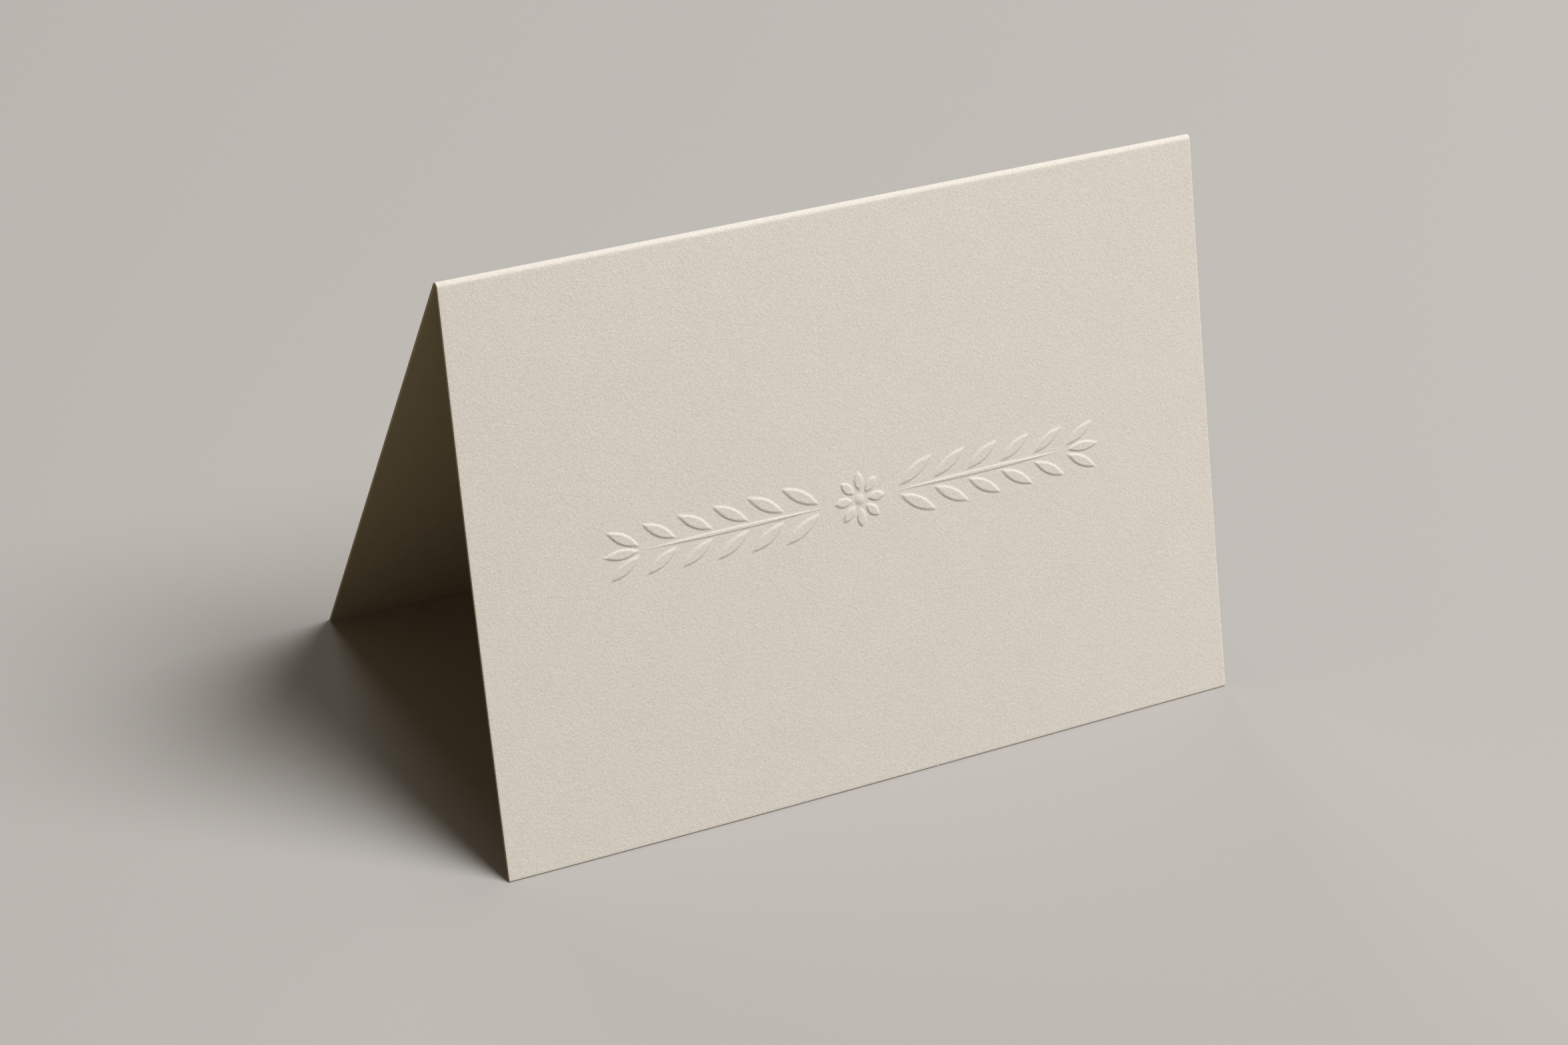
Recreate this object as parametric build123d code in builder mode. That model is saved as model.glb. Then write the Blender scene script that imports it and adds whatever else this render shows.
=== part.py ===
"""A folded greeting card of heavy cotton stock, standing as a tent on its two lower edges.

One sheet, folded once across the middle. The front panel carries a blind embossed laurel band:
a rosette with a leafy spray to each side, raised on the outside and hollow on the inside.

Millimetres. X runs along the fold, Y from front to back and Z up. The origin is on the table,
under the middle of the fold.
"""

import os
from math import cos, radians, sin, tan

from build123d import *

# The sheet as cut, its fold, and how far each panel leans from upright when the card stands
sheet_width = 148.0
sheet_length = 210.0
stock_thickness = 0.55
fold_inner_radius = 0.35
panel_lean = 22.2

# The embossing: its height in front, its depth behind, and the plain paper left at each side of it
relief = 0.19
hollow_depth = 0.15
hollow_inset = 0.18
side_margin = 24.0

# A laurel leaf, its lean from the stem, the step from leaf to leaf and the gap beside the stem
leaf_length = 8.6
leaf_width = 2.3
leaf_angle = 31.0
leaf_pitch = 7.0
leaf_gap = 0.35
tip_leaf_length = 6.9
tip_leaf_width = 1.9

# The stem of a spray, a long thin swell, and the gap between it and the rosette
stem_width = 0.8
stem_relief = 0.13
stem_gap = 1.6

# The rosette in the middle of the band
petal_count = 8
petal_length = 3.6
petal_width = 1.8
bead_diameter = 2.2
petal_gap = 0.4

# A raised form in steps from its foot to its crown: share of the outline, share of the height
crown_shares = [(1.0, 0.0), (0.87, 0.6), (0.66, 1.0)]

# The fold: each panel takes half of the bend, and the sheet keeps its length at mid thickness
half_turn = radians(90 - panel_lean)
lean = radians(panel_lean)
panel_length = sheet_length / 2 - (fold_inner_radius + stock_thickness / 2) * half_turn
crease_reach = panel_length + fold_inner_radius * tan(half_turn)
crease_height = crease_reach * cos(lean)
foot_reach = crease_reach * sin(lean)

# The inside and the outside of the front panel, with X along the fold and the origin mid-panel
panel_middle = sheet_length / 4
inside = Plane(
    origin=(0, panel_middle * sin(lean) - foot_reach, panel_middle * cos(lean)),
    x_dir=(1, 0, 0),
    z_dir=(0, -cos(lean), sin(lean)),
)
outside = inside.offset(stock_thickness)

# Where things come along a spray, measured from the middle of the rosette
petal_start = bead_diameter / 2 + petal_gap
stem_start = petal_start + petal_length + stem_gap
tip_leaf_start = sheet_width / 2 - side_margin - tip_leaf_length
stem_length = tip_leaf_start - leaf_gap - stem_start
leaf_start = (stem_width / 2 + leaf_gap) / sin(radians(leaf_angle))
leaf_steps = int(stem_length / leaf_pitch)


def pillow(length, width, height, start):
    """A soft raised form on a pointed oval outline, lying along X from `start`."""
    middle = start + length / 2
    with BuildPart() as form:
        for outline_share, height_share in crown_shares:
            half_length = length * outline_share / 2
            half_width = width * outline_share / 2
            with BuildSketch(Plane.XY.offset(height * height_share)):
                with BuildLine():
                    side = ThreePointArc(
                        (middle - half_length, 0), (middle, half_width), (middle + half_length, 0)
                    )
                    ThreePointArc(side @ 1, (middle, -half_width), side @ 0)
                make_face()
        loft()
    return form.part


def dome(diameter, height):
    """A low round bead."""
    with BuildPart() as form:
        with BuildSketch(Plane.XZ):
            with BuildLine():
                arc = ThreePointArc((-diameter / 2, 0), (0, height), (diameter / 2, 0))
                Line(arc @ 1, arc @ 0)
            make_face()
            split(bisect_by=Plane.YZ)
        revolve(axis=Axis.Z)
    return form.part


def turned(angle, distance=0, lean_angle=0):
    """A place on the band: so far out along a line at `angle`, then leaning from that line."""
    return Location((0, 0, 0), (0, 0, angle)) * Location((distance, 0, 0), (0, 0, lean_angle))


def emboss(places, length, width, height, start):
    """Raise pointed ovals on the outside of the panel and hollow them out behind."""
    hollow_share = (width - 2 * hollow_inset) / width
    raised = pillow(length, width, height, start)
    hollow = pillow(
        length * hollow_share,
        width * hollow_share,
        height * hollow_depth / relief,
        start + length * (1 - hollow_share) / 2,
    )
    with Locations(*[outside.location * place for place in places]):
        add(raised)
    with Locations(*[inside.location * place for place in places]):
        add(hollow, mode=Mode.SUBTRACT)


with BuildPart() as card:
    # The sheet, folded over with its outside a thickness away from its inside
    with BuildSketch(Plane.YZ):
        with BuildLine():
            FilletPolyline(
                (-foot_reach, 0), (0, crease_height), (foot_reach, 0), radius=fold_inner_radius
            )
            offset(amount=stock_thickness, side=Side.LEFT)
        make_face()
    extrude(amount=sheet_width / 2, both=True)

    # The rosette
    petals = [turned(360 * step / petal_count) for step in range(petal_count)]
    emboss(petals, petal_length, petal_width, relief, petal_start)
    with Locations(outside.location):
        add(dome(bead_diameter, relief))
    with Locations(inside.location):
        add(dome(bead_diameter - 2 * hollow_inset, hollow_depth), mode=Mode.SUBTRACT)

    # The two sprays: a stem, leaves in pairs that shrink towards the tip, and a leaf at the tip
    both_ways = [turned(0), turned(180)]
    emboss(both_ways, stem_length, stem_width, stem_relief, stem_start)
    emboss(both_ways, tip_leaf_length, tip_leaf_width, relief, tip_leaf_start)
    for step in range(leaf_steps + 1):
        step_share = step / (leaf_steps + 1)
        pair = [
            turned(way, stem_start + step * leaf_pitch, side * leaf_angle)
            for way in (0, 180)
            for side in (-1, 1)
        ]
        emboss(
            pair,
            leaf_length + (tip_leaf_length - leaf_length) * step_share,
            leaf_width + (tip_leaf_width - leaf_width) * step_share,
            relief,
            leaf_start,
        )

card.part.label = "card"
os.makedirs("parts", exist_ok=True)
export_step(card.part, "parts/card.step")
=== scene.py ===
import math

import bmesh
import bpy
import numpy as np
from mathutils import Matrix, Vector


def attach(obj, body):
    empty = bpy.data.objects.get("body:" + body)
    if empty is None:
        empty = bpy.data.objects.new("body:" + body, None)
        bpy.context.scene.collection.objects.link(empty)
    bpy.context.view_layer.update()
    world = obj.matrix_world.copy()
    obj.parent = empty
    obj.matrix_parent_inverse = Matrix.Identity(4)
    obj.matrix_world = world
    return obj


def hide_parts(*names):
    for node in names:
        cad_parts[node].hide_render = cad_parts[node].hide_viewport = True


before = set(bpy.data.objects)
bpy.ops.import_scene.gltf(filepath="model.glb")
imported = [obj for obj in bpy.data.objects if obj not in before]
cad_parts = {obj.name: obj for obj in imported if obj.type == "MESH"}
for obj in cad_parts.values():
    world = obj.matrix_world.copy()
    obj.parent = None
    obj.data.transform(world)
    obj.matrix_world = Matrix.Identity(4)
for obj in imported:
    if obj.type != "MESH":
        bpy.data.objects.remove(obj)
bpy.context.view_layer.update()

# The sheet is thick cotton paper, cut square by a blade that leaves its edges a little soft. It is still
# flat here, with its outside up, and its length runs from the foot of the front panel, over the fold line,
# to the foot of the back panel. All its sizes are in millimetres.
mm = 0.001
sheet_width = 148.0
sheet_length = 210.0
stock_thickness = 0.55
fold_inner_radius = 0.35
panel_lean = math.radians(22.2)
half_turn = math.radians(90) - panel_lean
fold_mid_radius = fold_inner_radius + stock_thickness / 2
panel_length = sheet_length / 2 - fold_mid_radius * half_turn
cut_edge_radius = 0.05
cut_edge_steps = 2
cut_edge_roundness = 0.5
least_corner = math.radians(45)

# The room for the band, the strip along each cut edge, and how many lines the mesh has across each stretch
band_middle = sheet_length / 4
band_half_length = 52.0
band_half_height = 6.0
edge_margin = 0.4
side_lines = 6
band_length_lines = 27
band_height_lines = 4
plain_lines = 10
fold_lines = 17
back_lines = 22

column_lines = np.concatenate([
    [-sheet_width / 2],
    np.linspace(edge_margin - sheet_width / 2, -band_half_length, side_lines)[:-1],
    np.linspace(-band_half_length, band_half_length, band_length_lines)[:-1],
    np.linspace(band_half_length, sheet_width / 2 - edge_margin, side_lines),
    [sheet_width / 2],
])
row_lines = np.concatenate([
    [0],
    np.linspace(edge_margin, band_middle - band_half_height, plain_lines)[:-1],
    np.linspace(band_middle - band_half_height, band_middle + band_half_height, band_height_lines)[:-1],
    np.linspace(band_middle + band_half_height, panel_length - edge_margin, plain_lines),
    np.linspace(panel_length, sheet_length - panel_length, fold_lines),
    np.linspace(sheet_length - panel_length + edge_margin, sheet_length - edge_margin, back_lines),
    [sheet_length],
])

sheet = bmesh.new()
rows = [[sheet.verts.new((x, s, 0)) for x in column_lines] for s in row_lines]
for low, high in zip(rows, rows[1:]):
    for corners in zip(low, low[1:], high[1:], high):
        sheet.faces.new(corners)
raised = bmesh.ops.extrude_face_region(sheet, geom=sheet.faces[:], use_keep_orig=True)["geom"]
for part in raised:
    if isinstance(part, bmesh.types.BMVert):
        part.co.z = stock_thickness
bmesh.ops.recalc_face_normals(sheet, faces=sheet.faces[:])
cut_edges = [edge for edge in sheet.edges if edge.calc_face_angle(0) > least_corner]
bmesh.ops.bevel(
    sheet,
    geom=cut_edges,
    offset=cut_edge_radius,
    segments=cut_edge_steps,
    profile=cut_edge_roundness,
    affect="EDGES",
)

# The burr is one small lip of paper that the blade left along the sheet's front foot, on its outside. It
# swells to its tip and breaks off there. The mesh is cut finely for it here, and the lip drops at the fold.
burr_start = 10.3
burr_tip = 11.0
burr_end = 11.2
burr_drop = 0.18
burr_lip = 0.2
burr_room = 0.6
burr_cuts = 39


def is_burr_edge(edge):
    """Whether an edge runs along the sheet's front foot, on its outside, past the place of the burr."""
    (x0, s0, n0), (x1, s1, n1) = sorted(tuple(vert.co) for vert in edge.verts)
    at_foot = max(s0, s1) < burr_room and min(n0, n1) > stock_thickness / 2
    return at_foot and x0 < burr_tip < x1


burr_edges = [edge for edge in sheet.edges if is_burr_edge(edge)]
bmesh.ops.subdivide_edges(sheet, edges=burr_edges, cuts=burr_cuts, use_grid_fill=True)

# The blind embossed laurel band, pressed between a warm die and its counter: pointed pillows that
# stand up from the outside of the front panel, with shallower hollows behind them.
relief = 0.19
hollow_depth = 0.15
hollow_inset = 0.18
side_margin = 24.0
crown_share = 0.35
foot_softness = 0.08
raised_cuts = 29
hollow_cuts = 11

leaf_length = 8.6
leaf_width = 2.3
leaf_angle = math.radians(31)
leaf_pitch = 7.0
leaf_gap = 0.35
tip_leaf_length = 6.9
tip_leaf_width = 1.9
stem_width = 0.8
stem_relief = 0.13
stem_gap = 1.6
petal_count = 8
petal_length = 3.6
petal_width = 1.8
bead_diameter = 2.2
petal_gap = 0.4

petal_start = bead_diameter / 2 + petal_gap
stem_start = petal_start + petal_length + stem_gap
tip_leaf_start = sheet_width / 2 - side_margin - tip_leaf_length
stem_length = tip_leaf_start - leaf_gap - stem_start
leaf_start = (stem_width / 2 + leaf_gap) / math.sin(leaf_angle)
leaf_steps = int(stem_length / leaf_pitch)


def refine_band(upper, cuts):
    """Divide the faces where the band goes, on one side of the sheet, finely enough for its relief."""
    faces = []
    for face in sheet.faces:
        middle = face.calc_center_median()
        in_band = abs(middle.x) < band_half_length and abs(middle.y - band_middle) < band_half_height
        if in_band and (face.normal.z > 0) == upper:
            faces.append(face)
    edges = list(dict.fromkeys(edge for face in faces for edge in face.edges))
    bmesh.ops.subdivide_edges(sheet, edges=edges, cuts=cuts, use_grid_fill=True)


refine_band(upper=True, cuts=raised_cuts)
refine_band(upper=False, cuts=hollow_cuts)

# Each form: where its axis starts along the band, the axis's angle, its start on that axis, its size
forms = []
for step in range(petal_count):
    forms.append((0, math.tau * step / petal_count, petal_start, petal_length, petal_width, relief))
for way in (0, math.pi):
    out = math.cos(way)
    forms.append((0, way, stem_start, stem_length, stem_width, stem_relief))
    forms.append((0, way, tip_leaf_start, tip_leaf_length, tip_leaf_width, relief))
    for step in range(leaf_steps + 1):
        shrink = step / (leaf_steps + 1)
        length = leaf_length + (tip_leaf_length - leaf_length) * shrink
        width = leaf_width + (tip_leaf_width - leaf_width) * shrink
        foot = out * (stem_start + step * leaf_pitch)
        for side in (-1, 1):
            forms.append((foot, way + side * leaf_angle, leaf_start, length, width, relief))


def soft_crown(rise):
    """A rise from 0 at a form's outline to 1 on its crown, eased at the foot and rounded above."""
    rise = np.clip(rise, 0, 1)
    rise = rise**2 * (1 + foot_softness) / (rise + foot_softness)
    return 1 - (1 - rise) ** 2


def band_height(x, y, inset, depth_share):
    """The band's height at points of the panel, with each form drawn in by `inset`."""
    height = np.zeros_like(x)
    for foot, angle, start, length, width, form_relief in forms:
        size = (width - 2 * inset) / width
        half_length = length * size / 2
        half_width = width * size / 2
        along = (x - foot) * math.cos(angle) + y * math.sin(angle) - start - length / 2
        across = abs(y * math.cos(angle) - (x - foot) * math.sin(angle))
        centre_offset = (half_length**2 - half_width**2) / (2 * half_width)
        lean_in = across * centre_offset
        outline = lean_in + np.sqrt(lean_in**2 + half_length**2 * (along**2 + across**2))
        rise = (1 - outline / half_length**2) / crown_share
        height = np.maximum(height, form_relief * soft_crown(rise))
    bead = 1 - np.hypot(x, y) / (bead_diameter / 2 - inset)
    return depth_share * np.maximum(height, relief * soft_crown(bead))


x, s, n = np.array([vert.co for vert in sheet.verts]).T
outside = n > stock_thickness / 2
y = s - band_middle
raised_side = band_height(x, y, inset=0, depth_share=1)
hollow_side = band_height(x, y, inset=hollow_inset, depth_share=hollow_depth / relief)
n = n + np.where(outside, raised_side, hollow_side)

# The fold. The sheet is scored, bent over a small radius and stood up, so that each panel leans by the
# same angle. The front panel has settled: its two sides, most of all halfway up, and its left lower
# corner have drawn in a little.
crease_reach = panel_length + fold_inner_radius * math.tan(half_turn)
foot_reach = crease_reach * math.sin(panel_lean)
fold_centre = panel_length * math.cos(panel_lean) - fold_inner_radius * math.sin(panel_lean)
left_sag = 0.75
right_sag = 0.37
left_corner_draw = 0.64

in_front = s < sheet_length / 2
from_foot = np.minimum(s, sheet_length - s)
in_fold = from_foot > panel_length
facing = np.where(in_front, -1, 1)
panel_y = facing * (foot_reach - from_foot * math.sin(panel_lean) + n * math.cos(panel_lean))
panel_z = from_foot * math.cos(panel_lean) + n * math.sin(panel_lean)
turn = np.clip((s - panel_length) / fold_mid_radius, 0, 2 * half_turn) - half_turn
fold_y = (fold_inner_radius + n) * np.sin(turn)
fold_z = fold_centre + (fold_inner_radius + n) * np.cos(turn)

up_share = np.clip(from_foot / panel_length, 0, 1)
out_share = (x / (sheet_width / 2)) ** 2
side_sag = np.where(x < 0, left_sag, right_sag) * 4 * up_share * (1 - up_share)
corner_draw = np.where(x < 0, left_corner_draw, 0) * (1 - up_share) ** 2
settle = np.where(in_front, out_share * (side_sag + corner_draw), 0)
burr = np.interp(x, [burr_start, burr_tip, burr_end], [0, burr_drop, 0])
lip_drop = np.where(outside & (s < burr_lip), burr, 0)
folded_y = np.where(in_fold, fold_y, panel_y) + settle
folded_z = np.where(in_fold, fold_z, panel_z) - lip_drop
for vert, place in zip(sheet.verts, np.stack([x, folded_y, folded_z], axis=1) * mm):
    vert.co = place

for face in sheet.faces:
    face.smooth = True
card_mesh = bpy.data.meshes.new("card_sheet")
sheet.to_mesh(card_mesh)
sheet.free()
card = bpy.data.objects.new("card_sheet", card_mesh)
bpy.context.scene.collection.objects.link(card)
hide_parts("card")
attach(card, "root")

# The finish: uncoated cotton paper, cream all through, pressed with a felt that leaves a fine even
# tooth. Its short fibres take up the colour unevenly, as a fine speckle over faint, broad clouds.
cream_light = (0.815, 0.764, 0.685, 1)
cream_deep = (0.612, 0.571, 0.507, 1)
cloud_size = 9.0
cloud_octaves = 2
cloud_roughness = 0.5
cloud_share = 0.06
speckle_size = 0.2
speckle_octaves = 1
speckle_roughness = 0.7
speckle_middle = 0.5
speckle_reach = 0.21
tooth_size = 0.5
tooth_octaves = 2
tooth_roughness = 0.6
tooth_height = 0.05
least_dullness = 0.74
most_dullness = 0.9
paper_gloss = 0.35
fibre_sheen = 0.06
fibre_sheen_spread = 0.6

paper = bpy.data.materials.new("cotton_paper")
paper.use_nodes = True
nodes = paper.node_tree.nodes
links = paper.node_tree.links
shader = nodes["Principled BSDF"]
shader.inputs["Specular IOR Level"].default_value = paper_gloss
shader.inputs["Sheen Weight"].default_value = fibre_sheen
shader.inputs["Sheen Roughness"].default_value = fibre_sheen_spread
pulp_place = nodes.new("ShaderNodeTexCoord")


def pulp_noise(size, octaves, roughness):
    """Noise in the paper's own place, with features of about `size` millimetres and finer."""
    noise = nodes.new("ShaderNodeTexNoise")
    noise.inputs["Scale"].default_value = 1 / (size * mm)
    noise.inputs["Detail"].default_value = octaves
    noise.inputs["Roughness"].default_value = roughness
    links.new(pulp_place.outputs["Object"], noise.inputs["Vector"])
    return noise.outputs["Fac"]


clouds = pulp_noise(cloud_size, cloud_octaves, cloud_roughness)
speckle = pulp_noise(speckle_size, speckle_octaves, speckle_roughness)
tooth = pulp_noise(tooth_size, tooth_octaves, tooth_roughness)
shade = nodes.new("ShaderNodeMix")
shade.inputs["Factor"].default_value = cloud_share
links.new(speckle, shade.inputs["A"])
links.new(clouds, shade.inputs["B"])
tint = nodes.new("ShaderNodeValToRGB")
tint.color_ramp.elements[0].position = speckle_middle - speckle_reach
tint.color_ramp.elements[0].color = cream_deep
tint.color_ramp.elements[1].position = speckle_middle + speckle_reach
tint.color_ramp.elements[1].color = cream_light
links.new(shade.outputs["Result"], tint.inputs["Fac"])
links.new(tint.outputs["Color"], shader.inputs["Base Color"])
dullness = nodes.new("ShaderNodeMapRange")
dullness.inputs["To Min"].default_value = least_dullness
dullness.inputs["To Max"].default_value = most_dullness
links.new(tooth, dullness.inputs["Value"])
links.new(dullness.outputs["Result"], shader.inputs["Roughness"])
grain = nodes.new("ShaderNodeBump")
grain.inputs["Strength"].default_value = 1
grain.inputs["Distance"].default_value = tooth_height * mm
links.new(tooth, grain.inputs["Height"])
links.new(grain.outputs["Normal"], shader.inputs["Normal"])
card_mesh.materials.append(paper)

# The floor is a plain sheet of matt paint, wide enough to fill the view from any side. It looks pale, but
# throws back only as much light as a dark one would, so that the inside of the card stays deep and warm.
# From here on, lengths are in metres.
floor_reach = 6.0
floor_colour = (0.42, 0.4, 0.377, 1)
floor_bounce = (0.125, 0.095, 0.048, 1)
floor_dullness = 0.9
floor_gloss = 0.2
floor_mesh = bpy.data.meshes.new("floor")
floor_corners = [(-floor_reach, -floor_reach, 0), (floor_reach, -floor_reach, 0),
                 (floor_reach, floor_reach, 0), (-floor_reach, floor_reach, 0)]
floor_mesh.from_pydata(floor_corners, [], [(0, 1, 2, 3)])
floor = bpy.data.objects.new("floor", floor_mesh)
bpy.context.scene.collection.objects.link(floor)
floor_paint = bpy.data.materials.new("floor_paint")
floor_paint.use_nodes = True
floor_nodes = floor_paint.node_tree.nodes
floor_links = floor_paint.node_tree.links
floor_shader = floor_nodes["Principled BSDF"]
floor_shader.inputs["Roughness"].default_value = floor_dullness
floor_shader.inputs["Specular IOR Level"].default_value = floor_gloss


def looks_on(tree):
    """A socket that is 1 for a ray that looks on, also by way of a gloss, and 0 for light thrown back."""
    ray = tree.nodes.new("ShaderNodeLightPath")
    seen = ray.outputs["Is Camera Ray"]
    for kind in ("Is Glossy Ray", "Is Transmission Ray"):
        either = tree.nodes.new("ShaderNodeMath")
        either.operation = "MAXIMUM"
        tree.links.new(seen, either.inputs[0])
        tree.links.new(ray.outputs[kind], either.inputs[1])
        seen = either.outputs["Value"]
    return seen


floor_tint = floor_nodes.new("ShaderNodeValToRGB")
floor_tint.color_ramp.elements[0].color = floor_bounce
floor_tint.color_ramp.elements[1].color = floor_colour
floor_links.new(looks_on(floor_paint.node_tree), floor_tint.inputs["Fac"])
floor_links.new(floor_tint.outputs["Color"], floor_shader.inputs["Base Color"])
floor_mesh.materials.append(floor_paint)

# The light comes from one large soft lamp above the card, to the right and in front. A weak one far behind
# it and a warm, dim sky all round keep the back of the card from going dull, and whoever looks past the
# floor sees a plain backdrop instead of the sky.
light_aim = Vector((0, -0.01, 0.04))
key_place = Vector((1.26, -0.97, 2.59))
key_size = 2.07
key_power = 128
fill_place = Vector((0.4, 4.6, 1.5))
fill_size = 2.4
fill_power = 72
lamp_colour = (0.97, 0.98, 1.0)
sky_colour = (1.0, 0.78, 0.42, 1)
sky_strength = 0.1
backdrop_colour = (0.5, 0.49, 0.475, 1)


def hang_lamp(name, place, size, power):
    """A round soft lamp that points at the card and stays out of the picture."""
    light = bpy.data.lights.new(name, "AREA")
    light.shape = "DISK"
    light.size = size
    light.color = lamp_colour
    light.energy = power
    lamp = bpy.data.objects.new(name, light)
    lamp.location = place
    lamp.rotation_euler = (light_aim - place).to_track_quat("-Z", "Y").to_euler()
    lamp.visible_camera = False
    bpy.context.scene.collection.objects.link(lamp)


hang_lamp("key", key_place, key_size, key_power)
hang_lamp("fill", fill_place, fill_size, fill_power)
world = bpy.data.worlds.new("sky")
world.use_nodes = True
air = world.node_tree.nodes
air_links = world.node_tree.links
sky = air["Background"]
sky.inputs["Color"].default_value = sky_colour
sky.inputs["Strength"].default_value = sky_strength
backdrop = air.new("ShaderNodeBackground")
backdrop.inputs["Color"].default_value = backdrop_colour
surround = air.new("ShaderNodeMixShader")
air_links.new(looks_on(world.node_tree), surround.inputs["Fac"])
air_links.new(sky.outputs["Background"], surround.inputs[1])
air_links.new(backdrop.outputs["Background"], surround.inputs[2])
air_links.new(surround.outputs["Shader"], air["World Output"].inputs["Surface"])
bpy.context.scene.world = world
bpy.context.scene.view_settings.view_transform = "Standard"

# The camera stands to the left of the card and looks down on it through a long lens, tipped a little, as
# it was photographed. The lens and its sensor are in millimetres.
azimuth = math.radians(-31.985)
elevation = math.radians(35.224)
roll = math.radians(6.328)
camera_distance = 0.6533
camera_aim = Vector((-0.00421, -0.0030, 0.03324))
lens_length = 82.93
sensor_width = 36.0
nearest_view = 0.01

level_reach = math.cos(elevation)
back = Vector((math.sin(azimuth) * level_reach, -math.cos(azimuth) * level_reach, math.sin(elevation)))
level = (-back).cross(Vector((0, 0, 1))).normalized()
upright = back.cross(level)
right = math.cos(roll) * level + math.sin(roll) * upright
up = math.cos(roll) * upright - math.sin(roll) * level
camera_data = bpy.data.cameras.new("camera")
camera_data.sensor_fit = "HORIZONTAL"
camera_data.sensor_width = sensor_width
camera_data.lens = lens_length
camera_data.clip_start = nearest_view
camera = bpy.data.objects.new("camera", camera_data)
camera_place = Matrix.Translation(camera_aim + back * camera_distance)
camera_turn = Matrix((right, up, back)).transposed().to_4x4()
camera.matrix_world = camera_place @ camera_turn
bpy.context.scene.collection.objects.link(camera)
bpy.context.scene.camera = camera
